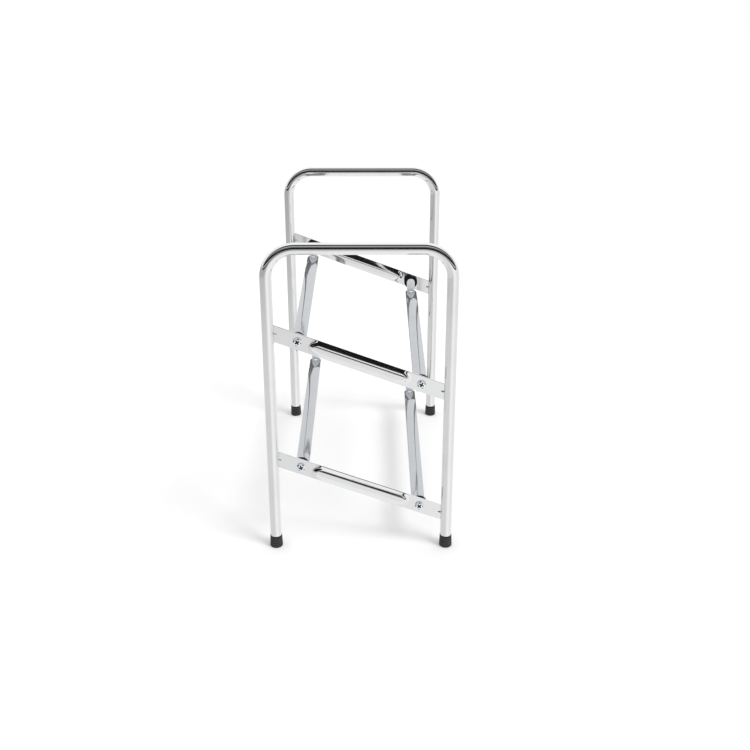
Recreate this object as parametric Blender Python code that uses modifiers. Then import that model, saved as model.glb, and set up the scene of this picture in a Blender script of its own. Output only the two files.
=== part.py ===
"""Folding luggage rack, modelled as separate pieces in metres with +Z up.

Two upright tube frames stand one behind the other, the front one at -Y. Each frame carries two
slanted bars, and four pressed arms join the frames. Every arm end sits on an angle lug and turns on
an upright rivet, so that the rear frame swings sideways until the two frames lie side by side.
"""

import math

import bmesh
import bpy
from mathutils import Matrix, Vector

GAP = 0.0003  # clearance between pieces that touch

# Tube frames
LEG_SPAN = 0.292  # between the two leg axes of one frame
RACK_HEIGHT = 0.546
FRAME_SPACING = 0.500  # between the planes of the two frames
TUBE_RADIUS = 0.0095
TUBE_WALL = 0.0013
BEND_RADIUS = 0.047  # of the tube's centre line
BEND_STEPS = 8

# Push-in feet
FOOT_HEIGHT = 0.022
FOOT_RIM_RADIUS = TUBE_RADIUS + 0.0006
FOOT_BASE_RADIUS = TUBE_RADIUS + 0.0014
FOOT_STEM_RADIUS = TUBE_RADIUS - TUBE_WALL - 0.0005
FOOT_STEM_LENGTH = 0.017

# Slanted bars
BAR_WIDTH = 0.0272
BAR_THICKNESS = 0.002
BAR_SLANT = math.radians(20.6)
BAR_HEIGHT_SHARES = {"upper": 0.631, "lower": 0.2143}  # of the rack's height, at the bar's centre
BAR_BEAD_MARGIN = 0.0198  # along the bar, from a screw's axis to the bead
BAR_BEAD_RUN_OUT = 0.007
BAR_BEAD_RISE = 0.0032
BAR_BEAD_FACING = -1  # along Y: the beads of both frames face the front
BAR_RIDGE_SHARE = 0.35  # of the half width, over which the bead's ridge is rounded

# Joint hardware
PIVOT_INSET = 0.0465  # from a leg's axis to the nearest screw's axis
SCREW_RADIUS = 0.003
SCREW_HEAD_RADIUS = 0.0072
SCREW_HEAD_HEIGHT = 0.0038
RECESS_LENGTH = 0.0084
RECESS_WIDTH = 0.0019
RECESS_DEPTH = 0.0022
SPACER_RADIUS = 0.0133
SPACER_LENGTH = 0.008
LUG_WIDTH = 0.016
LUG_THICKNESS = 0.0025
LUG_BEND_RADIUS = 0.00275  # of the sheet's middle
EAR_DROP = 0.0175  # from the screw's axis down to the ear's top face
RIVET_RADIUS = 0.0025
RIVET_HEAD_RADIUS = 0.00425
RIVET_HEAD_HEIGHT = 0.0012

# Arms
ARM_WIDTH = 0.022
ARM_THICKNESS = 0.002
ARM_BEAD_RISE = 0.003
ARM_CLEARANCE = 0.0014  # between the arm's round end and the lug's plate
ARM_BEAD_MARGIN = 0.016  # from the rivet's axis to the end of the bead
ARM_BEAD_RUN_OUT = 0.008

ROUND_STEPS = 16  # of a ring or a turned piece
BEAD_STEPS = 6  # across a beaded strip

# Worked out from the sizes above
LEG_X = LEG_SPAN / 2
RAIL_Z = RACK_HEIGHT - TUBE_RADIUS
BAR_END_X = LEG_X - TUBE_RADIUS - GAP
SPACER_START = BAR_THICKNESS / 2 + GAP
LUG_START = SPACER_START + SPACER_LENGTH + GAP
LUG_MIDDLE = LUG_START + LUG_THICKNESS / 2
HINGE_INSET = LUG_START + LUG_THICKNESS + ARM_CLEARANCE + ARM_WIDTH / 2
PIVOT_OFFSET = LEG_X - PIVOT_INSET
BAR_BEAD_HALF = PIVOT_OFFSET / math.cos(BAR_SLANT) - BAR_BEAD_MARGIN - BAR_BEAD_RUN_OUT

FRAMES = {"front": -1, "rear": 1}  # the side of Y = 0 that each frame stands on
LEVELS = ("upper", "lower")
SIDES = {"left": -1, "right": 1}

# Colour, metallic value and roughness of each finish
CHROME = ((0.80, 0.81, 0.82), 1.0, 0.08)
ZINC = ((0.66, 0.71, 0.74), 1.0, 0.28)
BLACK_NYLON = ((0.012, 0.012, 0.013), 0.0, 0.45)
BLACK_RUBBER = ((0.020, 0.020, 0.021), 0.0, 0.75)


def clear_scene():
    for obj in list(bpy.data.objects):
        bpy.data.objects.remove(obj, do_unlink=True)


def new_collection(name):
    collection = bpy.data.collections.new(name)
    bpy.context.scene.collection.children.link(collection)
    return collection


def add_object(name, mesh, collection):
    obj = bpy.data.objects.new(name, mesh)
    collection.objects.link(obj)
    return obj


def mesh_from(bm, name):
    mesh = bpy.data.meshes.new(name)
    bm.to_mesh(mesh)
    bm.free()
    return mesh


def give_finish(obj, finish):
    colour, metallic, roughness = finish
    material = bpy.data.materials.new(obj.name + "_finish")
    material.use_nodes = True
    shader = material.node_tree.nodes["Principled BSDF"]
    shader.inputs["Base Color"].default_value = (*colour, 1.0)
    shader.inputs["Metallic"].default_value = metallic
    shader.inputs["Roughness"].default_value = roughness
    obj.data.materials.append(material)


def solidify(obj, thickness, offset):
    modifier = obj.modifiers.new("thickness", "SOLIDIFY")
    modifier.thickness = thickness
    modifier.offset = offset
    modifier.use_even_offset = True


def smoothstep(value):
    value = min(max(value, 0.0), 1.0)
    return value * value * (3 - 2 * value)


# Cutters


def cut(obj, cutter):
    modifier = obj.modifiers.new(cutter.name, "BOOLEAN")
    modifier.operation = "DIFFERENCE"
    modifier.solver = "EXACT"
    modifier.object = cutter


def add_cutter(name, bm, cutters):
    cutter = add_object(name, mesh_from(bm, name), cutters)
    cutter.hide_render = True
    cutter.display_type = "WIRE"
    return cutter


def drill(obj, centre, axis, radius, length, cutters):
    """Cuts a round hole through obj, centred on the given point."""
    bm = bmesh.new()
    turn = Vector((0, 0, 1)).rotation_difference(Vector(axis)).to_matrix().to_4x4()
    bmesh.ops.create_cone(
        bm,
        cap_ends=True,
        segments=ROUND_STEPS,
        radius1=radius,
        radius2=radius,
        depth=length,
        matrix=Matrix.Translation(centre) @ turn,
    )
    cut(obj, add_cutter(f"{obj.name}_hole_{len(obj.modifiers)}", bm, cutters))


def cross_cutter(name, centre, side, cutters):
    """A cross-shaped prism along Y, for the recess in a screw's head."""
    arm = RECESS_LENGTH / 2
    half = RECESS_WIDTH / 2
    corner = [(arm, -half), (arm, half), (half, half)]
    outline = []
    for quarter in range(4):
        turn = Matrix.Rotation(quarter * math.pi / 2, 2)
        outline += [turn @ Vector(point) for point in corner]
    bm = bmesh.new()
    verts = [bm.verts.new((point.x, 0.0, point.y)) for point in outline]
    face = bm.faces.new(verts)
    extruded = bmesh.ops.extrude_face_region(bm, geom=[face])["geom"]
    lifted = [item for item in extruded if isinstance(item, bmesh.types.BMVert)]
    bmesh.ops.translate(bm, verts=lifted, vec=(0.0, side * 2 * RECESS_DEPTH, 0.0))
    tilt = Matrix.Rotation(math.radians(28), 4, "Y")
    bmesh.ops.transform(bm, verts=bm.verts, matrix=Matrix.Translation(centre) @ tilt)
    bmesh.ops.recalc_face_normals(bm, faces=bm.faces)
    return add_cutter(name, bm, cutters)


# Shared shapes


def turned_mesh(name, profile, closed, centre, axis):
    """Turns (radius, height) points about an axis through centre. Heights run along the axis."""
    bm = bmesh.new()
    verts = [bm.verts.new((radius, 0.0, height)) for radius, height in profile]
    pairs = list(zip(verts, verts[1:]))
    if closed:
        pairs.append((verts[-1], verts[0]))
    edges = [bm.edges.new(pair) for pair in pairs]
    bmesh.ops.spin(
        bm,
        geom=verts + edges,
        cent=(0, 0, 0),
        axis=(0, 0, 1),
        angle=math.tau,
        steps=ROUND_STEPS,
        use_merge=True,
    )
    bmesh.ops.remove_doubles(bm, verts=bm.verts, dist=1e-6)
    turn = Vector((0, 0, 1)).rotation_difference(Vector(axis)).to_matrix().to_4x4()
    bmesh.ops.transform(bm, verts=bm.verts, matrix=Matrix.Translation(centre) @ turn)
    bmesh.ops.recalc_face_normals(bm, faces=bm.faces)
    return mesh_from(bm, name)


def strip_sheet(steps, across_steps, place):
    """A sheet that place(station, across) lays out, with across running from -1 to 1."""
    bm = bmesh.new()
    bmesh.ops.create_grid(bm, x_segments=steps, y_segments=across_steps, size=1)
    for vert in bm.verts:
        station = round((vert.co.x + 1) / 2 * steps)
        vert.co = place(station, vert.co.y)
    return bm


def rounded_end(radius):
    """(distance past the end's centre, half width) points of a round end, from the centre out."""
    angles = [math.radians(angle) for angle in (0, 25, 50, 68, 82)]
    return [(radius * math.sin(angle), radius * math.cos(angle)) for angle in angles]


def level_height(level, x):
    """Height of a bar's centre line at x."""
    return BAR_HEIGHT_SHARES[level] * RACK_HEIGHT - x * math.tan(BAR_SLANT)


def joint_places():
    """(frame, level, side, frame's side of Y = 0, point where the screw meets the frame's plane)."""
    for frame, outward in FRAMES.items():
        for level in LEVELS:
            for side, sign in SIDES.items():
                x = sign * PIVOT_OFFSET
                y = outward * FRAME_SPACING / 2
                yield frame, level, side, outward, Vector((x, y, level_height(level, x)))


# Frames


def frame_path():
    """The tube's centre line in the XZ plane, from the left foot over the rail to the right foot."""
    bend_x = LEG_X - BEND_RADIUS
    bend_z = RAIL_Z - BEND_RADIUS
    path = [(-LEG_X, FOOT_HEIGHT)]
    for step in range(BEND_STEPS + 1):
        angle = math.pi - step * math.pi / 2 / BEND_STEPS
        x = -bend_x + BEND_RADIUS * math.cos(angle)
        path.append((x, bend_z + BEND_RADIUS * math.sin(angle)))
    return path + [(-x, z) for x, z in reversed(path)]


def frame_tube(frame, outward, collection):
    """One bent tube, open at both lower ends."""
    curve = bpy.data.curves.new("frame_path", "CURVE")
    curve.dimensions = "3D"
    curve.bevel_depth = TUBE_RADIUS
    curve.bevel_resolution = 4
    path = frame_path()
    spline = curve.splines.new("POLY")
    spline.points.add(len(path) - 1)
    for point, (x, z) in zip(spline.points, path):
        point.co = (x, outward * FRAME_SPACING / 2, z, 1.0)
    guide = bpy.data.objects.new("frame_path", curve)
    mesh = bpy.data.meshes.new_from_object(guide)
    bpy.data.objects.remove(guide)
    obj = add_object(f"{frame}_tube", mesh, collection)
    solidify(obj, TUBE_WALL, -1)
    give_finish(obj, CHROME)


def foot(frame, outward, side, collection):
    """A push-in foot: a tapered block with a stem that fills the tube's end."""
    base = FOOT_BASE_RADIUS
    rim = FOOT_RIM_RADIUS
    top = FOOT_HEIGHT - GAP
    stem_top = top + FOOT_STEM_LENGTH
    profile = [
        (0.0, 0.0),
        (base - 0.0013, 0.0),
        (base - 0.0003, 0.0006),
        (base, 0.0018),
        (rim, top - 0.0005),
        (rim - 0.0004, top),
        (FOOT_STEM_RADIUS, top),
        (FOOT_STEM_RADIUS, stem_top - 0.001),
        (FOOT_STEM_RADIUS - 0.001, stem_top),
        (0.0, stem_top),
    ]
    name = f"{frame}_foot_{side}"
    centre = (SIDES[side] * LEG_X, outward * FRAME_SPACING / 2, 0.0)
    obj = add_object(name, turned_mesh(name, profile, False, centre, (0, 0, 1)), collection)
    give_finish(obj, BLACK_RUBBER)


def bar_stations():
    """Places along a bar: both ends, and closer together where the bead runs out."""
    run_out = [BAR_BEAD_HALF + BAR_BEAD_RUN_OUT * part for part in (1, 0.75, 0.5, 0.25, 0)]
    half = [LEG_X / math.cos(BAR_SLANT) + BAR_WIDTH] + run_out
    return [-u for u in half] + [0.0] + list(reversed(half))


def ridge(across):
    """Height of a rounded ridge, from 0 at across = -1 and 1 up to 1 in the middle."""
    scale = math.log(math.cosh(1 / BAR_RIDGE_SHARE))
    return 1 - math.log(math.cosh(across / BAR_RIDGE_SHARE)) / scale


def bar_sheet(level, outward):
    """The bar's middle surface: flat at the ends, with a bead facing the front between them."""
    stations = bar_stations()
    plane_y = outward * FRAME_SPACING / 2
    along = Vector((math.cos(BAR_SLANT), 0.0, -math.sin(BAR_SLANT)))
    up = Vector((math.sin(BAR_SLANT), 0.0, math.cos(BAR_SLANT)))

    def place(station, across):
        u = stations[station]
        fade = smoothstep((BAR_BEAD_HALF + BAR_BEAD_RUN_OUT - abs(u)) / BAR_BEAD_RUN_OUT)
        rise = BAR_BEAD_RISE * fade * ridge(across)
        point = along * u + up * (across * BAR_WIDTH / 2)
        point.z += level_height(level, 0)
        point.y = plane_y + BAR_BEAD_FACING * rise
        return point

    return strip_sheet(len(stations) - 1, BEAD_STEPS, place)


def trim_to_legs(bm):
    """Cuts both ends of a bar upright, just clear of the legs."""
    for side in (-1, 1):
        bmesh.ops.bisect_plane(
            bm,
            geom=bm.verts[:] + bm.edges[:] + bm.faces[:],
            plane_co=(side * BAR_END_X, 0, 0),
            plane_no=(side, 0, 0),
            clear_outer=True,
        )


def bar(frame, outward, level, collection, cutters):
    bm = bar_sheet(level, outward)
    trim_to_legs(bm)
    name = f"{frame}_bar_{level}"
    obj = add_object(name, mesh_from(bm, name), collection)
    solidify(obj, BAR_THICKNESS, 0)
    for x in (-PIVOT_OFFSET, PIVOT_OFFSET):
        centre = (x, outward * FRAME_SPACING / 2, level_height(level, x))
        drill(obj, centre, (0, 1, 0), SCREW_RADIUS + GAP, 0.012, cutters)
    give_finish(obj, CHROME)


def build_frame(frame, outward, collection, cutters):
    frame_tube(frame, outward, collection)
    for side in SIDES:
        foot(frame, outward, side, collection)
    for level in LEVELS:
        bar(frame, outward, level, collection, cutters)


# Joint hardware


def spacer(name, outward, pivot, collection):
    """A black ring between the bar and the lug."""
    inner = SCREW_RADIUS + GAP
    edge = 0.0004
    start = SPACER_START
    end = SPACER_START + SPACER_LENGTH
    profile = [
        (inner, start),
        (SPACER_RADIUS - edge, start),
        (SPACER_RADIUS, start + edge),
        (SPACER_RADIUS, end - edge),
        (SPACER_RADIUS - edge, end),
        (inner, end),
    ]
    mesh = turned_mesh(name, profile, True, pivot, (0, -outward, 0))
    give_finish(add_object(name, mesh, collection), BLACK_NYLON)


def screw(name, outward, pivot, collection, cutters):
    """A pan-head screw from the bar's outer face into the lug, with a cross recess."""
    seat = -(BAR_THICKNESS / 2 + GAP)
    crown = seat - SCREW_HEAD_HEIGHT
    tip = LUG_START + LUG_THICKNESS - 0.0002
    profile = [
        (0.0, crown),
        (SCREW_HEAD_RADIUS * 0.55, crown + SCREW_HEAD_HEIGHT * 0.06),
        (SCREW_HEAD_RADIUS * 0.88, crown + SCREW_HEAD_HEIGHT * 0.30),
        (SCREW_HEAD_RADIUS, crown + SCREW_HEAD_HEIGHT * 0.68),
        (SCREW_HEAD_RADIUS, seat),
        (SCREW_RADIUS, seat),
        (SCREW_RADIUS, tip - 0.0005),
        (SCREW_RADIUS - 0.0005, tip),
        (0.0, tip),
    ]
    mesh = turned_mesh(name, profile, False, pivot, (0, -outward, 0))
    obj = add_object(name, mesh, collection)
    floor = pivot + Vector((0.0, outward * (-crown - RECESS_DEPTH), 0.0))
    cut(obj, cross_cutter(name + "_recess", floor, outward, cutters))
    give_finish(obj, ZINC)


def lug_path():
    """(inset from the frame's plane, height over the screw, half width) down the lug's middle."""
    radius = LUG_WIDTH / 2
    ear_z = -EAR_DROP - LUG_THICKNESS / 2
    path = [(LUG_MIDDLE, past, half) for past, half in reversed(rounded_end(radius))]
    for angle in (0, 30, 60, 90):
        turn = math.radians(angle)
        inset = LUG_MIDDLE + LUG_BEND_RADIUS * (1 - math.cos(turn))
        path.append((inset, ear_z + LUG_BEND_RADIUS * (1 - math.sin(turn)), radius))
    path += [(HINGE_INSET + past, ear_z, half) for past, half in rounded_end(radius)]
    return path


def lug(name, outward, pivot, collection, cutters):
    """An angle of sheet: a round-topped plate on the screw and a round-ended ear under the arm."""
    path = lug_path()

    def place(station, across):
        inset, height, half = path[station]
        return pivot + Vector((across * half, -outward * inset, height))

    bm = strip_sheet(len(path) - 1, 2, place)
    obj = add_object(name, mesh_from(bm, name), collection)
    solidify(obj, LUG_THICKNESS, 0)
    screw_hole = pivot + Vector((0.0, -outward * LUG_MIDDLE, 0.0))
    drill(obj, screw_hole, (0, 1, 0), SCREW_RADIUS + GAP, 0.008, cutters)
    rivet_hole = pivot + Vector((0.0, -outward * HINGE_INSET, -EAR_DROP))
    drill(obj, rivet_hole, (0, 0, 1), RIVET_RADIUS + GAP, 0.012, cutters)
    give_finish(obj, CHROME)


def rivet(name, outward, pivot, collection):
    """The upright pin that holds an arm's end on its ear, with a low head above and below."""
    centre = pivot + Vector((0.0, -outward * HINGE_INSET, -EAR_DROP))
    upper_seat = GAP + ARM_THICKNESS + GAP
    lower_seat = -LUG_THICKNESS - GAP
    head = RIVET_HEAD_RADIUS
    profile = [
        (0.0, upper_seat + RIVET_HEAD_HEIGHT),
        (head * 0.7, upper_seat + RIVET_HEAD_HEIGHT * 0.8),
        (head, upper_seat + RIVET_HEAD_HEIGHT * 0.3),
        (head, upper_seat),
        (RIVET_RADIUS, upper_seat),
        (RIVET_RADIUS, lower_seat),
        (head, lower_seat),
        (head, lower_seat - RIVET_HEAD_HEIGHT * 0.3),
        (head * 0.7, lower_seat - RIVET_HEAD_HEIGHT * 0.8),
        (0.0, lower_seat - RIVET_HEAD_HEIGHT),
    ]
    mesh = turned_mesh(name, profile, False, centre, (0, 0, 1))
    give_finish(add_object(name, mesh, collection), ZINC)


def build_joints(collection, cutters):
    for frame, level, side, outward, pivot in joint_places():
        ending = f"{level}_{side}"
        spacer(f"{frame}_spacer_{ending}", outward, pivot, collection)
        lug(f"{frame}_lug_{ending}", outward, pivot, collection, cutters)
        screw(f"{frame}_screw_{ending}", outward, pivot, collection, cutters)
        rivet(f"{frame}_rivet_{ending}", outward, pivot, collection)


# Arms


def arm_stations(reach):
    """(y, half width, share of the bead's rise) along an arm, from its front end to its rear end."""
    half = ARM_WIDTH / 2
    front = [(-reach - past, width, 0.0) for past, width in reversed(rounded_end(half))]
    bead = reach - ARM_BEAD_MARGIN
    for part in (0, 0.25, 0.5, 0.75, 1):
        front.append((-bead + part * ARM_BEAD_RUN_OUT, half, smoothstep(part)))
    return front + [(-y, width, rise) for y, width, rise in reversed(front)]


def arm(level, side, collection, cutters):
    """A pressed strip between two rivets, flat at its round ends, with its origin on the front one."""
    x = SIDES[side] * PIVOT_OFFSET
    reach = FRAME_SPACING / 2 - HINGE_INSET
    middle_z = level_height(level, x) - EAR_DROP + GAP + ARM_THICKNESS / 2
    hinge = Vector((x, -reach, middle_z))
    stations = arm_stations(reach)

    def place(station, across):
        y, half, rise = stations[station]
        height = ARM_BEAD_RISE * rise * (1 - across * across)
        return Vector((across * half, y + reach, height))

    name = f"arm_{level}_{side}"
    mesh = mesh_from(strip_sheet(len(stations) - 1, BEAD_STEPS, place), name)
    obj = add_object(name, mesh, collection)
    obj.location = hinge
    solidify(obj, ARM_THICKNESS, 0)
    for y in (-reach, reach):
        drill(obj, (x, y, middle_z), (0, 0, 1), RIVET_RADIUS + GAP, 0.012, cutters)
    give_finish(obj, CHROME)


def parent_rear_frame(collection):
    """Hangs the rear frame's pieces on an empty at the rear rivet of the upper left arm."""
    axis = bpy.data.objects.new("rear_frame_hinge", None)
    collection.objects.link(axis)
    axis.location = (-PIVOT_OFFSET, FRAME_SPACING / 2 - HINGE_INSET, level_height("upper", -PIVOT_OFFSET))
    bpy.context.view_layer.update()
    for obj in collection.objects:
        if obj.name.startswith("rear_") and obj is not axis:
            obj.parent = axis
            obj.matrix_parent_inverse = axis.matrix_world.inverted()


def main():
    clear_scene()
    collection = new_collection("folding_luggage_rack")
    cutters = new_collection("cutters")
    cutters.hide_render = True
    for frame, outward in FRAMES.items():
        build_frame(frame, outward, collection, cutters)
    build_joints(collection, cutters)
    for level in LEVELS:
        for side in SIDES:
            arm(level, side, collection, cutters)
    parent_rear_frame(collection)


main()
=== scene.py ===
"""Looks of a folding luggage rack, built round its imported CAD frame.

Each sub-assembly is a class that measures its CAD node, models a finer piece in the same place and
gives it its finish. Units are metres, with +Z up and the front frame at -Y.
"""

import logging
import math
from contextlib import contextmanager
from dataclasses import dataclass
from enum import Enum
from typing import Callable, Iterator

import bmesh
import bpy
from bpy.types import Material, Node, NodeSocket, NodeTree, Object
from mathutils import Matrix, Vector

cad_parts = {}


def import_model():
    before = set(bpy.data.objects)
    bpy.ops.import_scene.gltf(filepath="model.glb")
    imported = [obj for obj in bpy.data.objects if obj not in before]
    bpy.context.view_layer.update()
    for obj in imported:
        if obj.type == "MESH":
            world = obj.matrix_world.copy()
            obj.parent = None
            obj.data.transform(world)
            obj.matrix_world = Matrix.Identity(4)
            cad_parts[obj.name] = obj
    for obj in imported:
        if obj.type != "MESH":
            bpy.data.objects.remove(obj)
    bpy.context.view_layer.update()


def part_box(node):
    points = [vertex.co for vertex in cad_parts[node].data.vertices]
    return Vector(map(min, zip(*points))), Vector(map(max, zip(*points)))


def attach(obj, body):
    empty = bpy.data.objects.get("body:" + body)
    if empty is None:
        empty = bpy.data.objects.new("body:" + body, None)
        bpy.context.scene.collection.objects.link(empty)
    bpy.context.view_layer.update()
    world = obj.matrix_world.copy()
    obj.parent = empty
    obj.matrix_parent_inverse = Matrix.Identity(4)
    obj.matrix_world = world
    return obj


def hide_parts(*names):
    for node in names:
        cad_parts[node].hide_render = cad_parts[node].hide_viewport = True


LOG = logging.getLogger("luggage_rack")

Profile = list[tuple[float, float]]
Colour = tuple[float, float, float, float]
Value = NodeSocket | float | Colour

SLANT = math.radians(20.6)  # of every bar, down to the right
LEAST_END = 0.0004  # keeps the last row of a strip's round end from closing to a point


@dataclass(frozen=True)
class Edge:
    """The bevel on a sheet's edges that are sharper than least_angle, in degrees."""

    width: float = 0.00035
    segments: int = 2
    least_angle: float = 50.0


class Side(Enum):
    """Which side of the rack a piece is on, seen from the front."""

    LEFT = "left"
    RIGHT = "right"


class Level(Enum):
    """Which of a frame's two slanted bars a piece belongs to."""

    UPPER = "upper"
    LOWER = "lower"


class Frame(Enum):
    """One of the two tube frames."""

    FRONT = "front"
    REAR = "rear"

    @property
    def outward(self) -> int:
        """The sign of Y on this frame's outer side."""
        return -1 if self is Frame.FRONT else 1

    @property
    def body(self) -> str:
        """The moving body that this frame's pieces ride on."""
        return f"{self.value}_frame"


# Modelling by hand, in code


def deselect_all() -> None:
    """Leaves nothing selected, so that an operator acts only on its own piece."""
    for obj in list(bpy.context.selected_objects):
        obj.select_set(False)


def pick(obj: Object) -> None:
    """Makes obj the only selected object, and the active one.

    Args:
        obj: The piece to work on.
    """
    deselect_all()
    obj.select_set(True)
    bpy.context.view_layer.objects.active = obj


@contextmanager
def editing(obj: Object) -> Iterator[None]:
    """Opens obj in edit mode with all of it selected, and closes it again.

    Args:
        obj: The piece to edit.
    """
    pick(obj)
    bpy.ops.object.mode_set(mode="EDIT")
    bpy.ops.mesh.select_all(action="SELECT")
    yield
    bpy.ops.object.mode_set(mode="OBJECT")


def settle(name: str = "") -> Object:
    """Writes the active object's place, turn and size into its mesh.

    Args:
        name: The name to give to the object and its mesh, if any.

    Returns:
        The object, now at the origin and unturned.
    """
    obj = bpy.context.active_object
    pick(obj)
    bpy.ops.object.transform_apply(location=True, rotation=True, scale=True)
    if name:
        obj.name = name
        obj.data.name = name
    return obj


def place(obj: Object, matrix: Matrix) -> None:
    """Moves obj's mesh by matrix, which keeps the object itself at the origin.

    Args:
        obj: The piece.
        matrix: The place, turn and size to give it.
    """
    obj.matrix_world = matrix
    bpy.context.view_layer.update()
    pick(obj)
    settle()


def extrude(x: float, y: float, z: float) -> None:
    """Extrudes what is selected by a distance along each axis."""
    bpy.ops.mesh.extrude_region_move(TRANSFORM_OT_translate={"value": (x, y, z)})


def copy_of(obj: Object, name: str) -> Object:
    """Copies a modelled piece, with its own mesh.

    Args:
        obj: The piece to copy.
        name: The copy's name.

    Returns:
        The copy, in the same place.
    """
    pick(obj)
    bpy.ops.object.duplicate(linked=False)
    return settle(name)


def apply_modifier(obj: Object, kind: str, **settings: object) -> None:
    """Adds a modifier and applies it at once.

    Args:
        obj: The piece.
        kind: Blender's name for the modifier's type.
        **settings: The modifier's properties.
    """
    pick(obj)
    modifier = obj.modifiers.new(kind.lower(), kind)
    for key, value in settings.items():
        setattr(modifier, key, value)
    bpy.ops.object.modifier_apply(modifier=modifier.name)


def tidy_normals(obj: Object) -> None:
    """Merges doubles and turns every face outwards.

    Args:
        obj: The piece to mend.
    """
    with editing(obj):
        bpy.ops.mesh.remove_doubles(threshold=1e-6)
        bpy.ops.mesh.normals_make_consistent(inside=False)


def shade(obj: Object, degrees: float = 35.0) -> None:
    """Shades obj smooth, except at edges sharper than the angle."""
    pick(obj)
    bpy.ops.object.shade_smooth_by_angle(angle=math.radians(degrees))


def warp(obj: Object, rule: Callable[[Vector], Vector]) -> None:
    """Moves every vertex of obj to where rule puts it, as a press tool forms a flat blank.

    Args:
        obj: The piece to form.
        rule: Gives a vertex's new place from its old one.
    """
    edited = bmesh.new()
    edited.from_mesh(obj.data)
    for vert in edited.verts:
        vert.co = rule(vert.co.copy())
    edited.to_mesh(obj.data)
    edited.free()
    obj.data.update()


def blank(name: str, length: float, width: float, steps: tuple[int, int]) -> Object:
    """A flat strip with its length along X and its width along Y.

    Args:
        name: The piece's name.
        length: Along X.
        width: Along Y.
        steps: Number of faces along X and along Y.

    Returns:
        The strip, an open sheet at the origin.
    """
    deselect_all()
    bpy.ops.mesh.primitive_grid_add(x_subdivisions=steps[0], y_subdivisions=steps[1], size=1)
    bpy.context.active_object.scale = (length, width, 1)
    return settle(name)


def turn(name: str, profile: Profile, steps: int = 48) -> Object:
    """Models a turned solid about Z, as an outline of (radius, height) extruded ring by ring.

    Args:
        name: The piece's name.
        profile: The outline from one end cap to the other.
        steps: Number of faces round the piece.

    Returns:
        The closed solid.
    """
    deselect_all()
    radius, height = profile[0]
    bpy.ops.mesh.primitive_circle_add(
        vertices=steps, radius=radius, fill_type="NGON", location=(0, 0, height)
    )
    obj = settle(name)
    with editing(obj):
        for (radius, height), (wider, higher) in zip(profile, profile[1:]):
            extrude(0, 0, higher - height)
            share = wider / radius
            bpy.ops.transform.resize(value=(share, share, 1), center_override=(0, 0, higher))
    tidy_normals(obj)
    return obj


def arc(centre: tuple[float, float], radius: float, start: float, end: float, steps: int) -> Profile:
    """Points on a round stretch of an outline.

    Args:
        centre: The arc's centre, as (radius, height).
        radius: The arc's own radius.
        start: Angle of the first point in degrees, from the outward direction.
        end: Angle of the last point in degrees.
        steps: Number of stretches.

    Returns:
        The points, both ends included.
    """
    points = []
    for step in range(steps + 1):
        angle = math.radians(start + (end - start) * step / steps)
        points.append((centre[0] + radius * math.cos(angle), centre[1] + radius * math.sin(angle)))
    return points


def thicken(obj: Object, thickness: float, edge: Edge, even: bool = False) -> None:
    """Gives a pressed sheet its thickness, softens its edges and shades it.

    Args:
        obj: The sheet, which lies in the middle of the thickness.
        thickness: The piece's thickness.
        edge: The bevel on its edges.
        even: Keeps the thickness even round a fold.
    """
    apply_modifier(obj, "SOLIDIFY", thickness=thickness, offset=0, use_even_offset=even)
    limit = math.radians(edge.least_angle)
    settings = {"width": edge.width, "segments": edge.segments, "angle_limit": limit}
    apply_modifier(obj, "BEVEL", limit_method="ANGLE", **settings)
    shade(obj, 30)


def smoothstep(value: float) -> float:
    """Eases from 0 to 1."""
    value = min(max(value, 0.0), 1.0)
    return value * value * (3 - 2 * value)


def centre_of(node: str) -> Vector:
    """The middle of a CAD node's box."""
    low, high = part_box(node)
    return (low + high) / 2


def seat(obj: Object, body: str, slot: str, node: str | None, *finishes: Material) -> None:
    """Hands a finished piece over to the frame.

    Args:
        obj: The piece.
        body: The CAD body it rides on.
        slot: The name of a material slot; not used.
        node: The CAD node that it stands for, if there is one.
        *finishes: Its finishes, in the order of its faces' material numbers.
    """
    kept = [face.material_index for face in obj.data.polygons]
    obj.data.materials.clear()
    for material in finishes:
        obj.data.materials.append(material)
    obj.data.polygons.foreach_set("material_index", kept)
    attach(obj, body)
    if node:
        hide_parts(node)
    LOG.info("%s stands for %s", obj.name, node or "no CAD node")


# Finishes


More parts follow.
